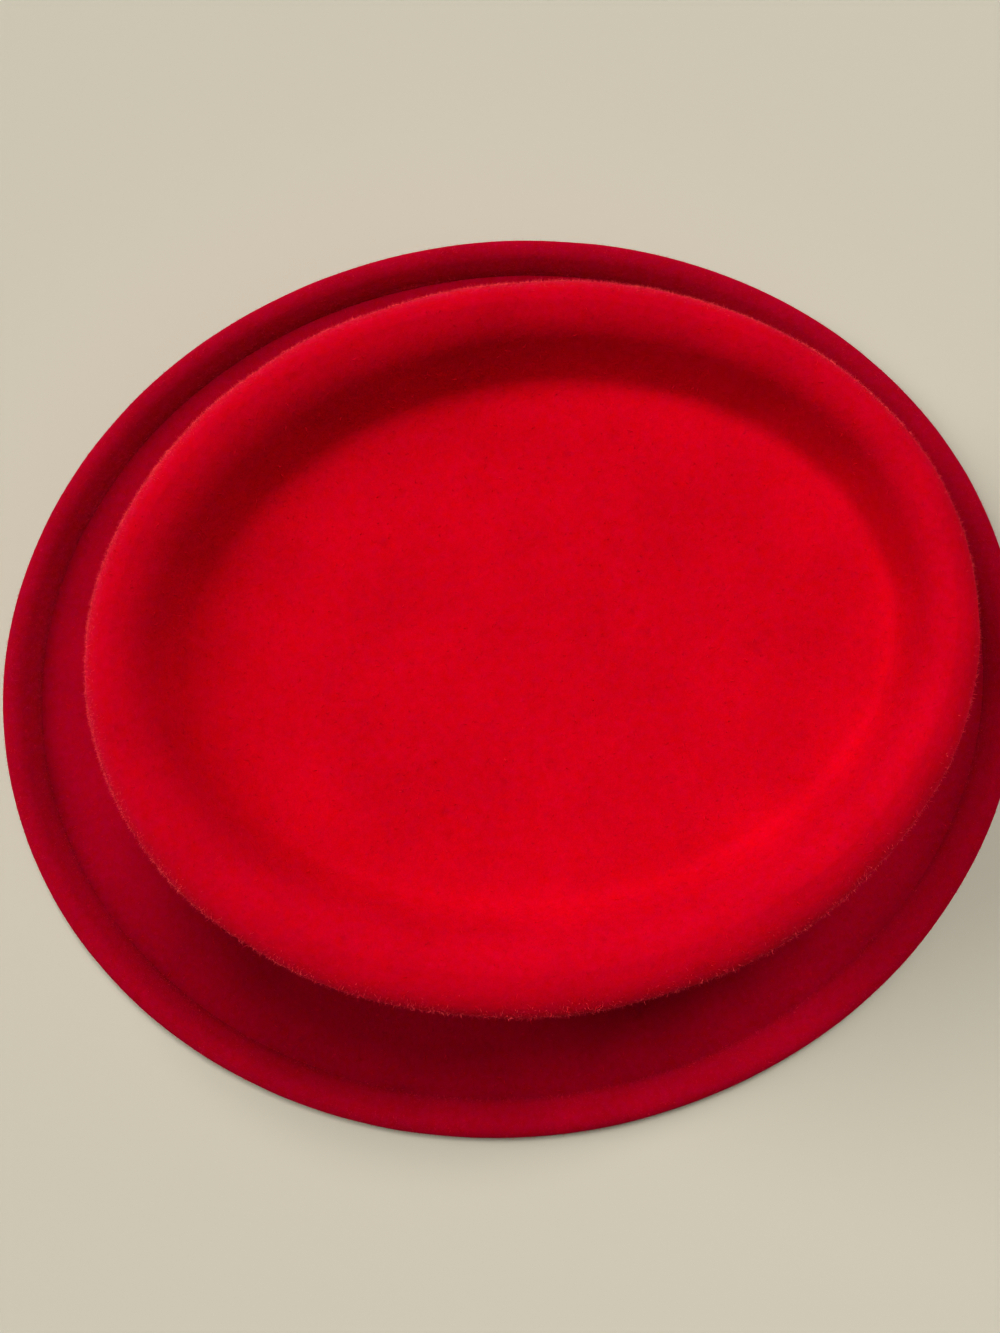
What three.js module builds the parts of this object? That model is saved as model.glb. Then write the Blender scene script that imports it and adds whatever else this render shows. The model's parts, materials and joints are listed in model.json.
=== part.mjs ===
// A pork pie hat: one blocked sheet of wool felt, in millimetres, +Z up.
//
// The hat lies on the flat underside of its brim, at z = 0, and the head space is open below. Its long
// way is X, and +X is the end where the rim is narrowest, taken as the front.
//
// The whole hat is one sheet: a floor sunk into the crown, the slope that climbs from it to the rounded
// rim, the wall that runs down to the brim, and the flat brim, whose edge is rolled up and over inwards
// until its lip lies on the brim. The middle of the sheet is walked as a line with a heading, in straight
// runs and arcs, once for each direction around the hat, and the two faces lie half a felt to either side.

import * as THREE from 'three';

// Main sizes
const FELT = 2.4;                       // thickness of the felt
const HEIGHT = 91;                      // top of the rim above the underside of the brim
const FOOT_HALF_LENGTH = 102.5;         // oval on which the wall meets the brim, in mid-felt
const FOOT_HALF_WIDTH = 85.8;
const BRIM_WIDTH = 43;                  // from that oval to the outermost point of the rolled edge
const WALL_LEAN = 7;                    // degrees that the wall leans inwards from upright
const BREAK_RADIUS = 6;                 // bend from the wall out to the brim
const RECESS_DEPTH = 13;                // from the top of the rim down to the edge of the floor
const FLOOR_DOME = 1.2;                 // rise of the floor from its edge to its middle

// The rim of the crown, by direction. Radii are to mid-felt, and the slope is in degrees from level.
const RIM = {
  front: { shoulder: 5.6, crest: 0.4, innerBend: 5.0, slope: 64, corner: 4.0 },
  side: { shoulder: 7.3, crest: 1.0, innerBend: 7.2, slope: 58, corner: 5.0 },
  back: { shoulder: 7.0, crest: 0.6, innerBend: 6.6, slope: 60, corner: 5.0 },
};

// The rolled edge of the brim, with turns in degrees
const ROLL_RADIUS = 3.2;
const ROLL_TURN = 252;                  // from lying flat, over the top, to pointing down at the brim
const FLARE_RADIUS = 2.4;               // bend back that lays the lip along the brim
const FLARE_TURN = 60;
const FLARE_FELT = 1.7;                 // thickness of the felt where the flare ends
const LIP_RUN = 1.6;
const LIP_FELT = 1.2;                   // thickness that the lip is pressed to at its cut edge

// Fineness
const AROUND = 60;                      // sections around the hat
const STEPS = { shoulder: 5, innerBend: 4, corner: 3, break: 3, roll: 12, flare: 3 };
const FLOOR_RINGS = [0.4, 0.75];        // rings of the floor, as shares of the way from middle to edge

const radians = THREE.MathUtils.degToRad;
const { lerp } = THREE.MathUtils;

// A line in the plane of a section: out from the foot oval, and up, with the felt's thickness.
class SheetWalk {
  constructor(out, up, heading) {
    this.points = [{ out, up, heading, felt: FELT }];
  }

  get last() {
    return this.points[this.points.length - 1];
  }

  run(length, felt = this.last.felt) {
    const { out, up, heading } = this.last;
    const angle = radians(heading);
    this.points.push({
      out: out + length * Math.cos(angle),
      up: up + length * Math.sin(angle),
      heading,
      felt,
    });
    return this;
  }

  // A turn to the left is positive, and one to the right is negative.
  arc(radius, turn, steps, felt = this.last.felt) {
    const start = this.last;
    const reach = Math.sign(turn) * radius;
    const centreOut = start.out - reach * Math.sin(radians(start.heading));
    const centreUp = start.up + reach * Math.cos(radians(start.heading));
    for (let step = 1; step <= steps; step++) {
      const heading = start.heading + (turn * step) / steps;
      this.points.push({
        out: centreOut + reach * Math.sin(radians(heading)),
        up: centreUp - reach * Math.cos(radians(heading)),
        heading,
        felt: lerp(start.felt, felt, step / steps),
      });
    }
    return this;
  }
}

// Where the bend between the wall and the brim ends, going up the wall
const wallHeading = 90 + WALL_LEAN;
const breakTurn = 90 - WALL_LEAN;
const breakTangent = BREAK_RADIUS * Math.tan(radians(breakTurn / 2));
const wallFoot = {
  out: breakTangent * Math.cos(radians(wallHeading)),
  up: FELT / 2 + breakTangent * Math.sin(radians(wallHeading)),
};

// The rim's sizes in one direction around the hat, blended from its ends and sides
function rimTowards(angle) {
  const end = Math.cos(angle) > 0 ? RIM.front : RIM.back;
  const endShare = Math.cos(angle) ** 2;
  const rim = {};
  for (const size of Object.keys(RIM.side)) {
    rim[size] = lerp(RIM.side[size], end[size], endShare);
  }
  return rim;
}

// Up the wall, over the rim and down the slope to the edge of the floor
function crownWalk(angle) {
  const rim = rimTowards(angle);
  const lean = radians(WALL_LEAN);
  const slope = radians(rim.slope);
  const shoulderRise = rim.shoulder * (1 - Math.sin(lean));
  const wallRise = HEIGHT - FELT / 2 - shoulderRise - wallFoot.up;
  const bendDrop = (rim.innerBend + rim.corner) * (1 - Math.cos(slope));
  return new SheetWalk(wallFoot.out, wallFoot.up, wallHeading)
    .run(wallRise / Math.cos(lean))
    .arc(rim.shoulder, breakTurn, STEPS.shoulder)
    .run(rim.crest)
    .arc(rim.innerBend, rim.slope, STEPS.innerBend)
    .run((RECESS_DEPTH - bendDrop) / Math.sin(slope))
    .arc(rim.corner, -rim.slope, STEPS.corner)
    .points;
}

// Down the bend at the foot of the wall, out along the brim and over the roll to the cut edge of the lip
function brimWalk() {
  const rollOuter = ROLL_RADIUS + FELT / 2;
  return new SheetWalk(wallFoot.out, wallFoot.up, -breakTurn)
    .arc(BREAK_RADIUS, breakTurn, STEPS.break)
    .run(BRIM_WIDTH - rollOuter - breakTangent)
    .arc(ROLL_RADIUS, ROLL_TURN, STEPS.roll)
    .arc(FLARE_RADIUS, -FLARE_TURN, STEPS.flare, FLARE_FELT)
    .run(LIP_RUN, LIP_FELT)
    .points;
}

// The whole section from the edge of the floor out to the lip
function sheetTowards(angle) {
  const crown = crownWalk(angle).reverse();
  const turned = crown.map((point) => ({ ...point, heading: point.heading + 180 }));
  return [...turned, ...brimWalk().slice(1)];
}

// A point of the sheet on one of its faces: side is 1 for the face that is up on the brim, or -1
function onFace(angle, { out, up, heading, felt }, side) {
  const offset = (side * felt) / 2;
  const faceOut = out - offset * Math.sin(radians(heading));
  const faceUp = up + offset * Math.cos(radians(heading));
  return new THREE.Vector3(
    (FOOT_HALF_LENGTH + faceOut) * Math.cos(angle),
    (FOOT_HALF_WIDTH + faceOut) * Math.sin(angle),
    faceUp,
  );
}

// The rings of one face, from near the middle of the floor out to the lip, and the middle itself
function faceRings(side) {
  const angles = Array.from({ length: AROUND }, (_, index) => (2 * Math.PI * index) / AROUND);
  const sections = angles.map((angle) => sheetTowards(angle).map((point) => onFace(angle, point, side)));
  const rings = sections[0].map((_, row) => sections.map((section) => section[row]));
  const edge = rings[0];
  const middle = edge[0].clone().add(edge[AROUND / 2]).divideScalar(2);
  const floorRings = FLOOR_RINGS.map((share) => edge.map((point) => {
    const inner = middle.clone().lerp(point, share);
    inner.z += FLOOR_DOME * (1 - share ** 2);
    return inner;
  }));
  middle.z += FLOOR_DOME;
  return { middle, rings: [...floorRings, ...rings] };
}

// Stitches the upper face, the cut edge of the lip and the under face into one closed skin
function feltBody() {
  const upper = faceRings(1);
  const under = faceRings(-1);
  const rings = [...upper.rings, ...under.rings.reverse()];
  const positions = rings.flat().flatMap((point) => point.toArray());
  positions.push(...upper.middle.toArray(), ...under.middle.toArray());

  const indices = [];
  for (let row = 0; row + 1 < rings.length; row++) {
    for (let column = 0; column < AROUND; column++) {
      const inner = row * AROUND + column;
      const innerNext = row * AROUND + ((column + 1) % AROUND);
      indices.push(inner, inner + AROUND, innerNext + AROUND);
      indices.push(inner, innerNext + AROUND, innerNext);
    }
  }
  const upperMiddle = rings.length * AROUND;
  const underMiddle = upperMiddle + 1;
  const lastRing = (rings.length - 1) * AROUND;
  for (let column = 0; column < AROUND; column++) {
    const next = (column + 1) % AROUND;
    indices.push(upperMiddle, column, next);
    indices.push(underMiddle, lastRing + next, lastRing + column);
  }

  const geometry = new THREE.BufferGeometry();
  geometry.setAttribute('position', new THREE.Float32BufferAttribute(positions, 3));
  geometry.setIndex(indices);
  geometry.computeVertexNormals();
  return geometry;
}

const redFelt = new THREE.MeshStandardMaterial({ color: '#c4061f', roughness: 0.95, metalness: 0 });

const group = new THREE.Group();
const body = new THREE.Mesh(feltBody(), redFelt);
body.name = 'felt_body';
group.add(body);

export default group;
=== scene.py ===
"""A red wool felt pork pie hat, lying on its brim on a pale floor.

The hat is one sheet of felt. It is drawn out from the oval floor of the sunken top, up the slope,
over the rim, down the wall, out along the brim and over the rolled edge to the lip. The sheet then
gets its thickness, its uneven hand-blocked surface and its short nap. Sizes are in metres, +X is
the front of the hat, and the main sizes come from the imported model's box.
"""

import json
import math

import bpy
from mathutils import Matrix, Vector

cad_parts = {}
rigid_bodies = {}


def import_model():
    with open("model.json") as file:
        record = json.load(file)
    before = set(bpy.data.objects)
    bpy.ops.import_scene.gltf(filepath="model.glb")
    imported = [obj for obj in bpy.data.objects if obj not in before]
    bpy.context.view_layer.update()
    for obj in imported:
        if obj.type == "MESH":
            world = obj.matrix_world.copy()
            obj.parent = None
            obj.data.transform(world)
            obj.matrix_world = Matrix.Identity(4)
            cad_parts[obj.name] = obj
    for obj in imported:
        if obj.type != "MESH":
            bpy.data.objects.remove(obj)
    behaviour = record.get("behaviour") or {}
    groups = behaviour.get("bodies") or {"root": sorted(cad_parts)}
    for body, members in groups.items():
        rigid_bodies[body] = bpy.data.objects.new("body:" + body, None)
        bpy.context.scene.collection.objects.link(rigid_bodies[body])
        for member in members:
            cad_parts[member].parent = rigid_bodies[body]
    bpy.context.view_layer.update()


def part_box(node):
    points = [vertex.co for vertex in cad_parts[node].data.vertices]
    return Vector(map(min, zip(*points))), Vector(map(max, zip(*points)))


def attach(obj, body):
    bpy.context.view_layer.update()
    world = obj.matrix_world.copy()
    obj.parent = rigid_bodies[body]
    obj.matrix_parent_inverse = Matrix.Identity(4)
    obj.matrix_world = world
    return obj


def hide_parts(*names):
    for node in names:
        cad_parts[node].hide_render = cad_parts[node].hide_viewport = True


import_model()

MM = 0.001
SIDES = ("front", "left", "back", "right")

# The hat's main sizes
_, far_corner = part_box("felt_body")
HEIGHT = far_corner.z
FELT = 2.4 * MM
BRIM_WIDTH = 43 * MM                # from the foot of the wall to the outermost point of the roll
BRIM_STRETCH = {"front": 1.6 * MM, "left": 0.1 * MM, "back": 1.1 * MM, "right": 0.4 * MM}
FOOT_LENGTH = far_corner.x - BRIM_WIDTH
FOOT_WIDTH = far_corner.y - BRIM_WIDTH
WALL_LEAN = math.radians(7)         # inwards from upright
WALL_TOP = 3 * MM                   # the strip of the wall that shares the shoulder's nap
BREAK_RADIUS = 6 * MM               # bend from the wall out to the brim
FLOOR_DOME = 1.2 * MM

# The rim, stretch by stretch from the floor outwards: its reach by direction, and its rise, in
# millimetres. The wearer's right side has the broader shoulder, the left side the longer slope.
RIM_MM = {
    "corner": {"front": 3.8, "left": 5.8, "back": 5.0, "right": 5.0, "rise": 2.8},
    "slope": {"front": 1.8, "left": 4.2, "back": 3.0, "right": 2.8, "rise": 5.4},
    "inner_bend": {"front": 4.4, "left": 7.2, "back": 7.4, "right": 6.4, "rise": 4.8},
    "crest": {"front": 0.1, "left": 0.2, "back": 0.2, "right": 0.2, "rise": 0.0},
    "shoulder": {"front": 6.4, "left": 5.6, "back": 6.1, "right": 8.6, "rise": -6.4},
}
RIM = {
    part: {way: size * MM for way, size in sizes.items()} for part, sizes in RIM_MM.items()
}
SLOPE = math.radians(60)

# The rolled edge, to mid-felt
ROLL_RADIUS = 2.4 * MM
FLANK_RADIUS = 3.6 * MM             # from the top of the roll inwards it is flatter
ROLL_TURN = math.radians(224)
LIP_RUN = 3.2 * MM                  # down towards the brim
FLARE_RADIUS = 3.0 * MM             # the lip levels out at its end, where it presses into the brim
FLARE_TURN = math.radians(-34)
LIP_SHARE = 0.3                     # share of the felt's thickness left at the cut edge
LIP_THINNING = (0.0, 0.45, 0.8)     # from that share to the full felt, ring by ring inwards

# The sheet's rings: how many each round or long part has, and where those of the flat parts lie.
# The lip meets the brim at the middle one of the trough.
AROUND = 60                         # points around each ring
RINGS = {
    "corner": 3, "inner_bend": 4, "shoulder": 5, "wall": 3, "break": 3, "roll": 9, "flank": 4,
    "lip": 2, "flare": 2,
}
FLOOR_RINGS = (0.5, 0.7, 0.86)      # shares of the floor's size
BRIM_RINGS = (0.33, 0.58)           # shares of the brim's run
TROUGH_RINGS = (0.72, 0.81, 1.0)    # shares of the brim's run

# Hand blocking leaves the sheet's points a little off, and the felt in low lumps.
POINTS_OFF = 0.4 * MM
LUMPS = ((34 * MM, 0.9 * MM), (9 * MM, 0.25 * MM))     # size and height

# How much each part of the sheet has of each nap, of the lumps, of the painted sheen and of the
# trough's painted shade: from where the part starts to where it ends, going outwards. Full is 1,
# and anything under 0 is none, as on the parts that aren't named.
SUNKEN_TOP = dict.fromkeys(("floor", "corner", "slope", "inner_bend", "crest"), (1.0, 1.0))
SHARES = {
    "crown_nap": {"shoulder": (-0.8, 1.6)},
    "crown_hairs": {"shoulder": (-1.2, 1.0), "wall_top": (0.4, 0.4), "wall": (0.2, 0.1)},
    "edge_nap": {"roll": (0.1, 0.4), "flank": (0.3, 0.2), "lip": (0.1, 1.0)},
    "edge_hairs": {"roll": (0.3, 0.1), "lip": (-1.6, 1.0)},
    "loose_nap": SUNKEN_TOP | {
        "shoulder": (0.8, 0.3), "wall_top": (0.6, 0.6), "wall": (0.7, 0.8), "break": (0.7, 0.7),
        "brim": (1.0, 0.9), "trough": (0.9, 0.6),
    },
    "uneven": SUNKEN_TOP | {
        "shoulder": (1.0, 1.0), "wall_top": (1.0, 1.0), "wall": (0.9, 0.6), "break": (0.4, 0.3),
        "brim": (0.15, 0.2), "trough": (0.2, 0.2), "roll": (0.3, 0.4), "flank": (0.4, 0.3),
        "lip": (0.3, 0.2),
    },
    # painted sheen: paler red on the rim's shoulder and the top of the wall, a little on the rolled
    # edge and lip
    "painted_sheen": {
        "shoulder": (-0.55, 1.5), "wall_top": (0.9, 0.7), "wall": (0.5, 0.1), "roll": (0.10, 0.05),
        "flank": (0.05, 0.10), "lip": (0.10, 0.35),
    },
    # painted shade along the trough, where the roll meets the brim
    "painted_trough_shade": {"trough": (-0.4, 1.8), "lip": (-0.8, 1.0)},
}

# The nap. Fibres are modelled a millimetre long, so their lengths are also their scales.
FIBRE_RADIUS = 0.032 * MM
FIBRE_LEANS = (0.4, 0.8, 1.3)       # from nearly upright to well bent over
FIBRE_REDS = {
    "edge_fibre": ((0.62, 0.050, 0.085, 1), (0.84, 0.115, 0.125, 1)),
    "brim_fibre": ((0.42, 0.025, 0.060, 1), (0.62, 0.070, 0.100, 1)),
    "loose_fibre": ((0.50, 0.003, 0.020, 1), (0.66, 0.020, 0.040, 1)),
}
NAPS = {
    "crown_nap": {
        "fibre": "edge_fibre", "per_square_mm": 5.9, "lean": 0.9, "lengths": (0.3, 0.85),
        "seed": 11, "one_sided": True,
    },
    "crown_hairs": {
        "fibre": "edge_fibre", "per_square_mm": 1.2, "lean": 1.1, "lengths": (0.6, 1.2),
        "seed": 31, "one_sided": True,
    },
    "edge_nap": {
        "fibre": "brim_fibre", "per_square_mm": 3.3, "lean": 1.0, "lengths": (0.3, 0.8),
        "seed": 17, "underside": True,
    },
    "edge_hairs": {
        "fibre": "edge_fibre", "per_square_mm": 1.6, "lean": 1.2, "lengths": (0.4, 0.9),
        "seed": 41, "underside": True,
    },
    "loose_nap": {
        "fibre": "loose_fibre", "per_square_mm": 0.12, "lean": 1.35, "lengths": (0.6, 1.4),
        "seed": 23,
    },
}
NAP_SIDE = (-0.2, 0.98, 0.0)        # towards the hat's left, where its nap stands up most and the painted sheen is strongest
NAP_PATCH = 11 * MM                 # size of the patches in which the nap is thicker or thinner
PATCH_DENSITY = (0.35, 0.65, 0.55, 1.45)        # both are ranges, as further below
SIDE_DENSITY = (-40 * MM, 60 * MM, 0.25, 1.35)

# The felt's reds, from the brim up. Painted shade: the brim's red is darker than the crown's, and
# the rim's a little darker
SHADED_BRIM_RED = (0.345, 0.0006, 0.028, 1)
CROWN_RED = (0.52, 0.0006, 0.022, 1)
SHADED_RIM_RED = (0.475, 0.0006, 0.024, 1)
SHEEN_PAINT_RED = (0.50, 0.036, 0.075, 1)  # painted sheen: the rim's shoulder painted paler, where its standing nap catches the light
TUFT_RED = (0.54, 0.006, 0.055, 1)
SHEEN_RED = (1.0, 0.012, 0.17, 1)

# The felt's patterns by the size of their features
FELT_PATTERNS = {
    "clouds": {"size": 18 * MM, "detail": 3},
    "pressed_spots": {"size": 4.5 * MM},
    "hue_patches": {"size": 2.2 * MM, "detail": 3, "roughness": 0.6},
    "clumps": {"size": 1.6 * MM, "detail": 4, "roughness": 0.6, "distortion": 0.4},
    "tufts": {"size": 0.9 * MM, "roughness": 0.6, "distortion": 0.8},
    "fibres": {"size": 0.45 * MM, "detail": 3, "roughness": 0.65, "distortion": 1.2},
}

# Ranges: a value between the first two numbers becomes one between the last two.
BRIM_SHADE_HEIGHTS = (10 * MM, 50 * MM, 0.0, 1.0)
RIM_SHADE_HEIGHTS = (81 * MM, 87 * MM, 0.0, 1.0)
SHEEN_PAINT_BY_SIDE = (-30 * MM, 60 * MM, 0.1, 1.0)
SHEEN_PAINT_TUFTS = (0.38, 0.60, 0.25, 1.0)
LOOSE_TUFTS = (0.62, 0.76, 0.0, 0.40)
TROUGH_SHADE_PAINT = (0.8 * MM, 1.8 * MM, 0.0, 0.20)   # painted shade in the trough, by height, so that it spares the underside
HUES = (0.3, 0.7, -0.36, 0.36)
SHADES = {
    "clouds": (0.3, 0.7, -0.05, 0.05),
    "clumps": (0.3, 0.7, -0.05, 0.05),
    "fibres": (0.3, 0.7, -0.04, 0.04),
    "pressed_spots": (0.64, 0.80, 0.0, -0.12),
}
ROUGHNESSES = (0.3, 0.7, 0.82, 0.95)
FIBRE_SHADES = (0.35, 0.65, 0.0, 1.0)

# Bumps: how deep, and how strong
CLUMP_BUMP = (0.35 * MM, 0.32)
FIBRE_BUMP = (0.12 * MM, 0.3)

# The studio
FLOOR_SIZE = 8
FLOOR_COLOUR = (0.50, 0.485, 0.425, 1)
WALL_COLOUR = (1.0, 0.96, 0.86, 1)
WALL_LIGHT = (0.06, 0.45, 0.40, 0.05)           # a range: pale near the floor, dim overhead
LAMP_WHITE = (1.0, 0.98, 0.94)
BROAD_LIGHTS = {
    "main_light": {"towards": (0.17, 0.47, 0.87), "width": 20, "power": 1.95},
    "back_light": {"towards": (-0.74, 0.35, 0.57), "width": 34, "power": 1.55},
}
NEAR_LAMP_POWER = 0.08
NEAR_LAMP_SIZE = 0.16
NEAR_LAMP_PLACE = (0.07, -0.07, 0.38)
CAMERA_PLACE = (-18.5 * MM, -22.0 * MM, 290.6 * MM)
CAMERA_TURN = (math.radians(5.15), math.radians(-1.86), math.radians(-8.68))
SENSOR_WIDTH = 36
LENS = 27.03


class Oval:
    """One ring of the sheet: its reach to its four sides, its height, and its part of the hat."""

    def __init__(self, front, left, back, right, height, part="floor"):
        self.front, self.left, self.back, self.right = front, left, back, right
        self.height, self.part = height, part

    @property
    def middle(self):
        return Vector(((self.front - self.back) / 2, (self.left - self.right) / 2, self.height))

    @property
    def length(self):
        return (self.front + self.back) / 2

    @property
    def width(self):
        return (self.left + self.right) / 2

    def grown(self, front, left, back, right, rise):
        return Oval(
            self.front + front, self.left + left, self.back + back, self.right + right,
            self.height + rise,
        )

    def evenly(self, out, rise):
        return self.grown(out, out, out, out, rise)

    def inside(self, share, rise):
        """The same oval about its own middle at a share of its size."""
        in_x, in_y = self.length * (share - 1), self.width * (share - 1)
        return self.grown(in_x, in_y, in_x, in_y, rise)


def select_only(piece):
    bpy.ops.object.select_all(action="DESELECT")
    piece.select_set(True)
    bpy.context.view_layer.objects.active = piece


def start_sheet(name, oval):
    """A flat oval filled with quads, left in edit mode with its edge selected."""
    bpy.ops.object.select_all(action="DESELECT")
    bpy.ops.mesh.primitive_circle_add(vertices=AROUND, radius=1, fill_type="NOTHING")
    sheet = bpy.context.object
    sheet.name = sheet.data.name = name
    bpy.ops.object.mode_set(mode="EDIT")
    bpy.ops.mesh.select_all(action="SELECT")
    bpy.ops.transform.resize(value=(oval.length, oval.width, 1))
    bpy.ops.transform.translate(value=oval.middle)
    bpy.ops.mesh.fill_grid(span=AROUND // 4)
    bpy.ops.mesh.select_all(action="SELECT")
    bpy.ops.mesh.region_to_loop()
    return sheet


def draw_out(ovals):
    """Extrudes the selected edge of the sheet through a row of ovals."""
    for before, after in zip(ovals, ovals[1:]):
        bpy.ops.mesh.extrude_edges_move()
        bpy.ops.transform.resize(
            value=(after.length / before.length, after.width / before.width, 1),
            center_override=before.middle,
        )
        bpy.ops.transform.translate(value=after.middle - before.middle)


def rim_bend(start, stretch, first, last):
    """Ovals along a bend of the rim. Its heading, in radians, goes from first to last."""
    sizes, steps = RIM[stretch], RINGS[stretch]
    across = abs(math.sin(last) - math.sin(first))
    ovals = []
    for step in range(1, steps + 1):
        heading = first + (last - first) * step / steps
        reached = abs(math.sin(heading) - math.sin(first)) / across
        risen = (math.cos(heading) - math.cos(first)) / (math.cos(last) - math.cos(first))
        reaches = [sizes[side] * reached for side in SIDES]
        ovals.append(start.grown(*reaches, sizes["rise"] * risen))
    return ovals


def rim_run(start, stretch):
    sizes = RIM[stretch]
    return [start.grown(*(sizes[side] for side in SIDES), sizes["rise"])]


def bend(start, radius, turn, steps, heading):
    """Ovals along a round bend, the same on all sides. A positive turn starts to go up."""
    side = math.copysign(1, turn)
    ovals = []
    for step in range(1, steps + 1):
        now = heading + turn * step / steps
        out = side * radius * (math.sin(now) - math.sin(heading))
        rise = side * radius * (math.cos(heading) - math.cos(now))
        ovals.append(start.evenly(out, rise))
    return ovals


def run(start, length, steps, heading):
    """Ovals along a straight run, the same on all sides."""
    ovals = []
    for step in range(1, steps + 1):
        gone = length * step / steps
        ovals.append(start.evenly(gone * math.cos(heading), gone * math.sin(heading)))
    return ovals


def felt_ovals():
    """All the ovals of the sheet, from the floor of the sunken top to the lip of the brim."""
    wall_heading = WALL_LEAN - math.pi / 2
    break_turn = -wall_heading
    break_tangent = BREAK_RADIUS * math.tan(break_turn / 2)
    wall_foot = Oval(FOOT_LENGTH, FOOT_WIDTH, FOOT_LENGTH, FOOT_WIDTH, FELT / 2).evenly(
        -break_tangent * math.cos(wall_heading), -break_tangent * math.sin(wall_heading)
    )
    crest_height = HEIGHT - FELT / 2
    wall_drop = crest_height + RIM["shoulder"]["rise"] - wall_foot.height
    wall_length = wall_drop / math.cos(WALL_LEAN)
    wall_top = wall_foot.evenly(-wall_length * math.cos(wall_heading), wall_drop)

    rim_reach = [sum(sizes[side] for sizes in RIM.values()) for side in SIDES]
    rim_rise = sum(sizes["rise"] for sizes in RIM.values())
    floor = wall_top.grown(*(-reach for reach in rim_reach), -rim_rise)

    ovals = [floor.inside(share, FLOOR_DOME * (1 - share**2)) for share in FLOOR_RINGS] + [floor]

    def go(part, further):
        for oval in further:
            oval.part = part
            ovals.append(oval)

    go("corner", rim_bend(ovals[-1], "corner", 0, SLOPE))
    go("slope", rim_run(ovals[-1], "slope"))
    go("inner_bend", rim_bend(ovals[-1], "inner_bend", SLOPE, 0))
    go("crest", rim_run(ovals[-1], "crest"))
    go("shoulder", rim_bend(ovals[-1], "shoulder", 0, wall_heading))
    go("wall_top", run(ovals[-1], WALL_TOP, 1, wall_heading))
    go("wall", run(ovals[-1], wall_length - WALL_TOP, RINGS["wall"], wall_heading))
    go("break", bend(ovals[-1], BREAK_RADIUS, break_turn, RINGS["break"], wall_heading))
    brim_run = BRIM_WIDTH - break_tangent - ROLL_RADIUS - FELT / 2
    reach = [brim_run + BRIM_STRETCH[side] for side in SIDES]
    brim_start = ovals[-1]
    for part, shares in (("brim", BRIM_RINGS), ("trough", TROUGH_RINGS)):
        go(part, [brim_start.grown(*(share * out for out in reach), 0) for share in shares])
    go("roll", bend(ovals[-1], ROLL_RADIUS, math.pi, RINGS["roll"], 0))
    go("flank", bend(ovals[-1], FLANK_RADIUS, ROLL_TURN - math.pi, RINGS["flank"], math.pi))
    go("lip", run(ovals[-1], LIP_RUN, RINGS["lip"], ROLL_TURN))
    go("lip", bend(ovals[-1], FLARE_RADIUS, FLARE_TURN, RINGS["flare"], ROLL_TURN))
    return ovals


def apply_modifier(piece, kind, **settings):
    modifier = piece.modifiers.new(kind.title(), kind)
    for key, value in settings.items():
        setattr(modifier, key, value)
    select_only(piece)
    bpy.ops.object.modifier_apply(modifier=modifier.name)


def weigh(sheet, name, ovals, shares):
    """A vertex group that holds each ring of the sheet by its part's shares."""
    group = sheet.vertex_groups.new(name=name)
    rings = ovals[1:]
    first = len(sheet.data.vertices) - len(rings) * AROUND
    group.add(range(first), shares.get("floor", (0.0, 0.0))[0], "REPLACE")
    parts = [oval.part for oval in rings]
    for ring, part in enumerate(parts):
        start, end = shares.get(part, (0.0, 0.0))
        along = (ring - parts.index(part) + 1) / parts.count(part)
        share = max(0.0, start + (end - start) * along)
        group.add(range(first, first + AROUND), share, "REPLACE")
        first += AROUND


def thin_the_lip(sheet):
    """A group whose weight falls to nothing at the cut edge, over the last rings of the sheet."""
    group = sheet.vertex_groups.new(name="full_felt")
    count = len(sheet.data.vertices)
    group.add(range(count), 1.0, "REPLACE")
    for ring, weight in enumerate(LIP_THINNING):
        last = count - ring * AROUND
        group.add(range(last - AROUND, last), weight, "REPLACE")


def keep_for_material(piece, name):
    """Copies a vertex group to an attribute of the same name, which a material can read."""
    group = piece.vertex_groups[name]
    weights = [0.0] * len(piece.data.vertices)
    for vertex in piece.data.vertices:
        for member in vertex.groups:
            if member.group == group.index:
                weights[vertex.index] = member.weight
    piece.vertex_groups.remove(group)
    piece.data.attributes.new(name, "FLOAT", "POINT").data.foreach_set("value", weights)


def make_felt():
    ovals = felt_ovals()
    felt = start_sheet("red_felt_hat", ovals[0])
    draw_out(ovals)
    bpy.ops.transform.vertex_random(offset=POINTS_OFF, seed=4)
    bpy.ops.mesh.select_all(action="SELECT")
    bpy.ops.mesh.normals_make_consistent(inside=False)
    bpy.ops.object.mode_set(mode="OBJECT")

    thin_the_lip(felt)
    for name, shares in SHARES.items():
        weigh(felt, name, ovals, shares)
    felt.vertex_groups.new(name="upper_face")
    apply_modifier(
        felt, "SOLIDIFY", thickness=FELT, offset=0, use_even_offset=True, use_rim=True,
        vertex_group="full_felt", thickness_vertex_group=LIP_SHARE,
        shell_vertex_group="upper_face",
    )
    apply_modifier(felt, "SUBSURF", levels=2, render_levels=2)
    for size, height in LUMPS:
        lumps = bpy.data.textures.new("hand_blocked", "CLOUDS")
        lumps.noise_scale = size
        lumps.noise_depth = 1
        apply_modifier(
            felt, "DISPLACE", texture=lumps, texture_coords="LOCAL", strength=height,
            mid_level=0.5, vertex_group="uneven",
        )
    keep_for_material(felt, "painted_sheen")
    keep_for_material(felt, "painted_trough_shade")
    bpy.ops.object.shade_smooth()
    return felt


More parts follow.
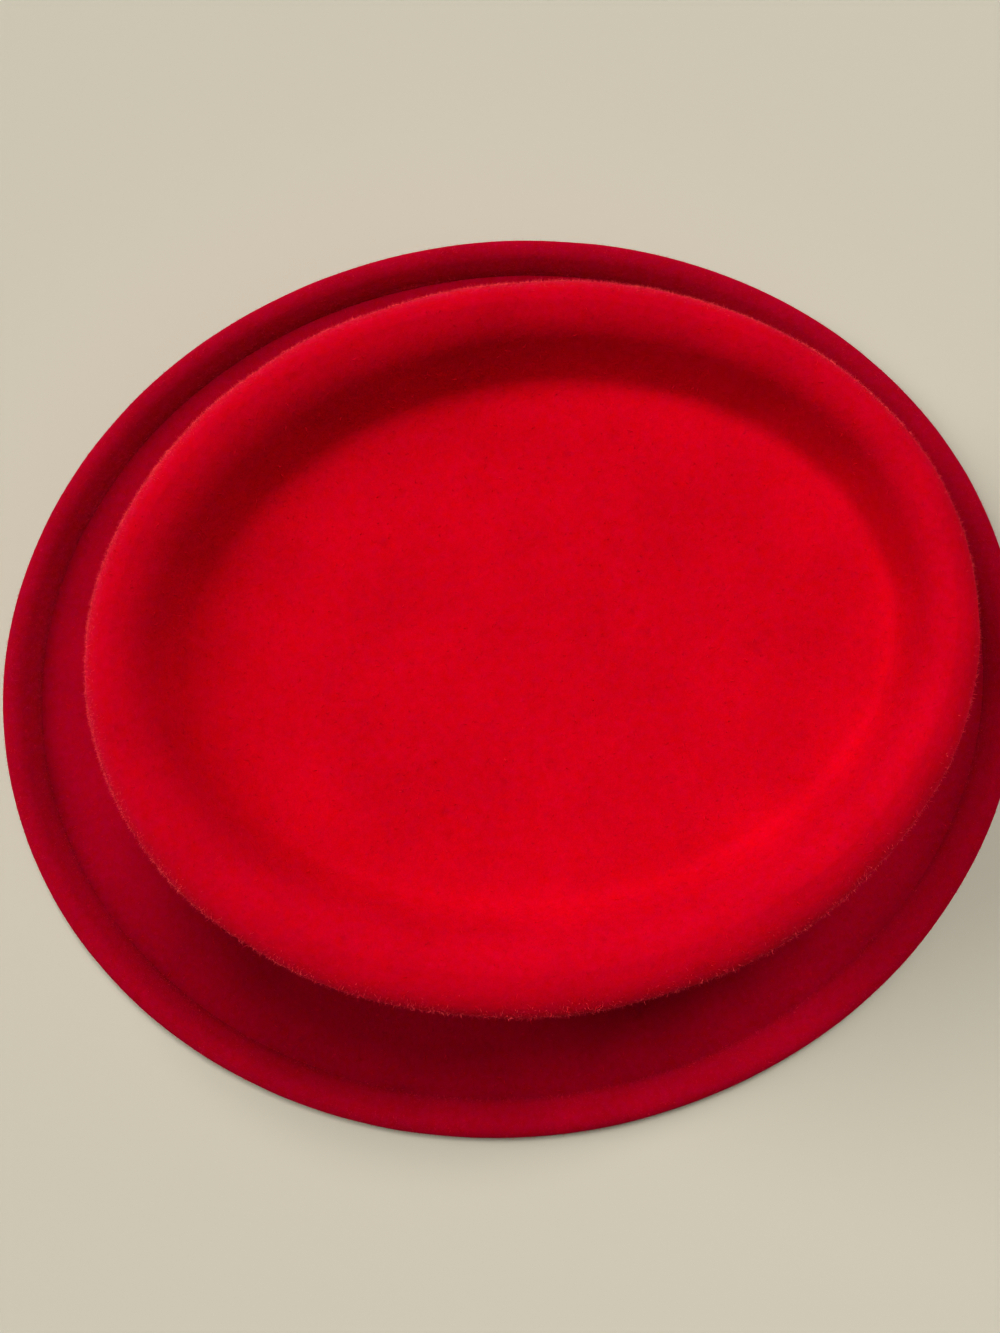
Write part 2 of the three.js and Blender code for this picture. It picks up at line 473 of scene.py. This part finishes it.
class Nodes:
    """Adds and links the nodes of one tree."""

    def __init__(self, tree):
        self.tree = tree

    def add(self, kind, inputs=None, **settings):
        node = self.tree.nodes.new(kind)
        for key, value in settings.items():
            setattr(node, key, value)
        for key, value in (inputs or {}).items():
            self.put(node, key, value)
        return node

    def put(self, node, key, value):
        if isinstance(value, bpy.types.NodeSocket):
            self.tree.links.new(value, node.inputs[key])
        else:
            node.inputs[key].default_value = value

    def math(self, operation, first, second):
        return self.add("ShaderNodeMath", {0: first, 1: second}, operation=operation).outputs[0]

    def map(self, value, low, high, to_low=0.0, to_high=1.0):
        return self.add("ShaderNodeMapRange", {
            "Value": value, "From Min": low, "From Max": high, "To Min": to_low, "To Max": to_high,
        }).outputs["Result"]

    def noise(self, place, size, detail=2.0, roughness=0.5, distortion=0.0):
        """Noise whose features are about the given size in metres, from 0 to 1."""
        return self.add("ShaderNodeTexNoise", {
            "Vector": place, "Scale": 1 / size, "Detail": detail, "Roughness": roughness,
            "Distortion": distortion,
        }).outputs["Fac"]

    def sideways(self, place):
        """How far a place lies towards the side where the nap stands up most."""
        return self.add(
            "ShaderNodeVectorMath", {0: place, 1: NAP_SIDE}, operation="DOT_PRODUCT"
        ).outputs["Value"]

    def height(self, place):
        return self.add("ShaderNodeSeparateXYZ", {0: place}).outputs["Z"]


class FinishNodes(Nodes):
    """Adds and links the nodes of one material."""

    def __init__(self, name):
        self.material = bpy.data.materials.new(name)
        self.material.use_nodes = True
        super().__init__(self.material.node_tree)
        self.shader = self.tree.nodes["Principled BSDF"]

    def finish(self, **sockets):
        """Sets the shader's sockets, named with low lines for their spaces."""
        for name, value in sockets.items():
            self.put(self.shader, name.replace("_", " "), value)

    def object_place(self):
        return self.add("ShaderNodeTexCoord").outputs["Object"]

    def attribute(self, name):
        return self.add("ShaderNodeAttribute", attribute_name=name).outputs["Fac"]

    def mix(self, share, first, second, blend="MIX"):
        node = self.add("ShaderNodeMix", data_type="RGBA", blend_type=blend)
        for key, value in ((0, share), (6, first), (7, second)):
            self.put(node, key, value)
        return node.outputs[2]

    def bump(self, value, distance, strength, below=None):
        inputs = {"Height": value, "Distance": distance, "Strength": strength}
        if below is not None:
            inputs["Normal"] = below
        return self.add("ShaderNodeBump", inputs).outputs["Normal"]


def red_felt():
    """Wool felt: clouds and clumps of deeper and lighter red, bluer and pressed patches, paler
    tufts, a painted sheen on the rim where the nap stands up, and painted shade on the brim, a
    little on the rim and most along the trough of the brim."""
    nodes = FinishNodes("red_wool_felt")
    place = nodes.object_place()
    height = nodes.height(place)
    patterns = {name: nodes.noise(place, **look) for name, look in FELT_PATTERNS.items()}

    # painted shade: darker red on the brim, fading out up the wall, and a little darker high on the
    # rim
    red = nodes.mix(nodes.map(height, *BRIM_SHADE_HEIGHTS), SHADED_BRIM_RED, CROWN_RED)
    red = nodes.mix(nodes.map(height, *RIM_SHADE_HEIGHTS), red, SHADED_RIM_RED)

    # painted sheen: paler red where the standing nap catches the light, most towards the hat's
    # left, in tufts
    sheen_paint = nodes.attribute("painted_sheen")
    sheen_paint = nodes.math("MULTIPLY", sheen_paint, nodes.map(nodes.sideways(place), *SHEEN_PAINT_BY_SIDE))
    sheen_paint = nodes.math("MULTIPLY", sheen_paint, nodes.map(patterns["tufts"], *SHEEN_PAINT_TUFTS))
    red = nodes.mix(sheen_paint, red, SHEEN_PAINT_RED)
    red = nodes.mix(nodes.map(patterns["tufts"], *LOOSE_TUFTS), red, TUFT_RED)

    shade = 1.0
    for name, spread in SHADES.items():
        shade = nodes.math("ADD", shade, nodes.map(patterns[name], *spread))
    # painted shade: darker where the roll meets the brim, in the crease and in the roll's shadow
    trough_shade = nodes.map(height, *TROUGH_SHADE_PAINT)
    trough_shade = nodes.math("MULTIPLY", nodes.attribute("painted_trough_shade"), trough_shade)
    shade = nodes.math("SUBTRACT", shade, trough_shade)
    bluer = nodes.math("ADD", shade, nodes.map(patterns["hue_patches"], *HUES))
    shades = nodes.add("ShaderNodeCombineXYZ", {0: shade, 1: shade, 2: bluer}).outputs[0]
    red = nodes.mix(1.0, red, shades, "MULTIPLY")

    clump_bump = nodes.bump(patterns["clumps"], *CLUMP_BUMP)
    nodes.finish(
        Base_Color=red,
        Roughness=nodes.map(patterns["clumps"], *ROUGHNESSES),
        Diffuse_Roughness=0.2,
        Specular_IOR_Level=0.03,
        Sheen_Weight=0.10,
        Sheen_Roughness=0.45,
        Sheen_Tint=SHEEN_RED,
        Normal=nodes.bump(patterns["fibres"], *FIBRE_BUMP, below=clump_bump),
    )
    return nodes.material


def fibre_colour(name, low, high):
    """Single fibres let light through, so they look paler and warmer than the felt under them."""
    nodes = FinishNodes(name)
    shade = nodes.map(nodes.noise(nodes.object_place(), 2.0 * MM, detail=1), *FIBRE_SHADES)
    nodes.finish(Base_Color=nodes.mix(shade, low, high), Roughness=0.8, Specular_IOR_Level=0.05)
    return nodes.material


def make_fibre(name, lean, material):
    """One short wool fibre to copy: three-sided, bent over at its middle, pointed at its tip."""
    bpy.ops.object.select_all(action="DESELECT")
    bpy.ops.mesh.primitive_circle_add(vertices=3, radius=FIBRE_RADIUS, fill_type="NGON")
    fibre = bpy.context.object
    fibre.name = fibre.data.name = name
    fibre.data.materials.append(material)
    bpy.ops.object.mode_set(mode="EDIT")
    bpy.ops.mesh.select_all(action="SELECT")
    for move in ((0.15 * lean * MM, 0, 0.5 * MM), (0.55 * lean * MM, 0.1 * MM, 0.4 * MM)):
        bpy.ops.mesh.extrude_region_move(TRANSFORM_OT_translate={"value": move})
    bpy.ops.mesh.merge(type="CENTER")
    bpy.ops.object.mode_set(mode="OBJECT")
    return fibre


def make_fibres(name, low, high):
    """A collection of fibres of one red, each with its own lean."""
    fibres = bpy.data.collections.new(name)
    material = fibre_colour(name, low, high)
    for number, lean in enumerate(FIBRE_LEANS):
        fibre = make_fibre("%s_%d" % (name, number + 1), lean, material)
        bpy.context.scene.collection.objects.unlink(fibre)
        fibres.objects.link(fibre)
    return fibres


def clear_away(fibres):
    for fibre in list(fibres.objects):
        bpy.data.objects.remove(fibre)
    bpy.data.collections.remove(fibres)


def scatter_tree(
    name, fibres, per_square_mm, lean, lengths, seed, underside=False, one_sided=False
):
    """Geometry nodes that keep only fibres, strewn over one face of the felt where the group of the
    same name says."""
    tree = bpy.data.node_groups.new(name, "GeometryNodeTree")
    for in_out in ("INPUT", "OUTPUT"):
        tree.interface.new_socket("Geometry", in_out=in_out, socket_type="NodeSocketGeometry")
    nodes = Nodes(tree)

    def weight(of):
        return nodes.add(
            "GeometryNodeInputNamedAttribute", {"Name": of}, data_type="FLOAT"
        ).outputs["Attribute"]

    face = weight("upper_face")
    if underside:
        face = nodes.math("SUBTRACT", 1.0, face)
    place = nodes.add("GeometryNodeInputPosition").outputs[0]
    full = per_square_mm / MM**2
    low, high, thin, thick = PATCH_DENSITY
    patchy = nodes.map(nodes.noise(place, NAP_PATCH), low, high, thin * full, thick * full)
    density = nodes.math("MULTIPLY", nodes.math("MULTIPLY", weight(name), face), patchy)
    if one_sided:
        share = nodes.map(nodes.sideways(place), *SIDE_DENSITY)
        density = nodes.math("MULTIPLY", density, share)

    felt = nodes.add("NodeGroupInput").outputs["Geometry"]
    strewn = nodes.add(
        "GeometryNodeDistributePointsOnFaces", {"Mesh": felt, "Density": density, "Seed": seed},
        distribute_method="RANDOM",
    )
    models = nodes.add("GeometryNodeCollectionInfo", {
        "Collection": fibres, "Separate Children": True, "Reset Children": True,
    })
    size = nodes.add(
        "FunctionNodeRandomValue", {2: lengths[0], 3: lengths[1], "Seed": seed + 1},
        data_type="FLOAT",
    )
    turn = nodes.add(
        "FunctionNodeRandomValue",
        {0: (-lean, -lean, 0.0), 1: (lean, lean, math.tau), "Seed": seed + 2},
        data_type="FLOAT_VECTOR",
    )
    tilt = nodes.add(
        "FunctionNodeRotateRotation", {0: strewn.outputs["Rotation"], 1: turn.outputs[0]},
        rotation_space="LOCAL",
    )
    copies = nodes.add("GeometryNodeInstanceOnPoints", {
        "Points": strewn.outputs["Points"], "Instance": models.outputs[0], "Pick Instance": True,
        "Rotation": tilt.outputs[0], "Scale": size.outputs[1],
    })
    real = nodes.add("GeometryNodeRealizeInstances", {"Geometry": copies.outputs[0]})
    nodes.add("NodeGroupOutput", {"Geometry": real.outputs[0]})
    return tree


def make_nap(name, felt, kinds, fibre, **strewing):
    """A copy of the felt turned into the fibres that grow on it."""
    select_only(felt)
    bpy.ops.object.duplicate()
    nap = bpy.context.object
    nap.name = nap.data.name = name
    apply_modifier(nap, "NODES", node_group=scatter_tree(name, kinds[fibre], **strewing))
    return nap


def make_floor():
    bpy.ops.object.select_all(action="DESELECT")
    bpy.ops.mesh.primitive_plane_add(size=FLOOR_SIZE)
    floor = bpy.context.object
    floor.name = "floor"
    nodes = FinishNodes("pale_floor")
    nodes.finish(Base_Color=FLOOR_COLOUR, Roughness=0.9, Specular_IOR_Level=0.08)
    floor.data.materials.append(nodes.material)


def light_up(name, kind, power):
    lamp = bpy.data.lights.new(name, kind)
    lamp.energy = power
    lamp.color = LAMP_WHITE
    holder = bpy.data.objects.new(name, lamp)
    bpy.context.scene.collection.objects.link(holder)
    holder.visible_camera = False
    return lamp, holder


def broad_light(name, towards, width, power):
    """Even soft light from far away: towards points at its middle, width is its size in degrees."""
    lamp, holder = light_up(name, "SUN", power)
    lamp.angle = math.radians(width)
    holder.location = Vector(towards).normalized()
    holder.rotation_euler = Vector(towards).to_track_quat("Z", "Y").to_euler()


def make_light():
    """Soft light from over the hat's left side, a lower one from its back, a weak lamp close
    above, and pale walls."""
    for name, settings in BROAD_LIGHTS.items():
        broad_light(name, **settings)
    lamp, holder = light_up("near_lamp", "AREA", NEAR_LAMP_POWER)
    lamp.shape = "DISK"
    lamp.size = NEAR_LAMP_SIZE
    holder.location = NEAR_LAMP_PLACE

    world = bpy.data.worlds.new("studio")
    world.use_nodes = True
    nodes = Nodes(world.node_tree)
    walls = nodes.tree.nodes["Background"]
    direction = nodes.add("ShaderNodeTexCoord").outputs["Generated"]
    nodes.put(walls, "Color", WALL_COLOUR)
    nodes.put(walls, "Strength", nodes.map(nodes.height(direction), *WALL_LIGHT))

    scene = bpy.context.scene
    scene.world = world
    scene.view_settings.view_transform = "Standard"
    scene.view_settings.look = "High Contrast"


def make_camera():
    """Held flat over the hat, a little behind its middle, tipped towards its front and left."""
    camera = bpy.data.cameras.new("camera")
    camera.sensor_width = SENSOR_WIDTH
    camera.lens = LENS
    camera.clip_start = 0.01
    holder = bpy.data.objects.new("camera", camera)
    bpy.context.scene.collection.objects.link(holder)
    holder.location = CAMERA_PLACE
    holder.rotation_mode = "YXZ"
    holder.rotation_euler = CAMERA_TURN
    bpy.context.scene.camera = holder


felt = make_felt()
fibre_kinds = {name: make_fibres(name, *reds) for name, reds in FIBRE_REDS.items()}
naps = [make_nap(name, felt, fibre_kinds, **strewing) for name, strewing in NAPS.items()]
for fibres in fibre_kinds.values():
    clear_away(fibres)

felt.data.materials.append(red_felt())
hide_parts("felt_body")
for piece in [felt, *naps]:
    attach(piece, "root")
make_floor()
make_light()
make_camera()
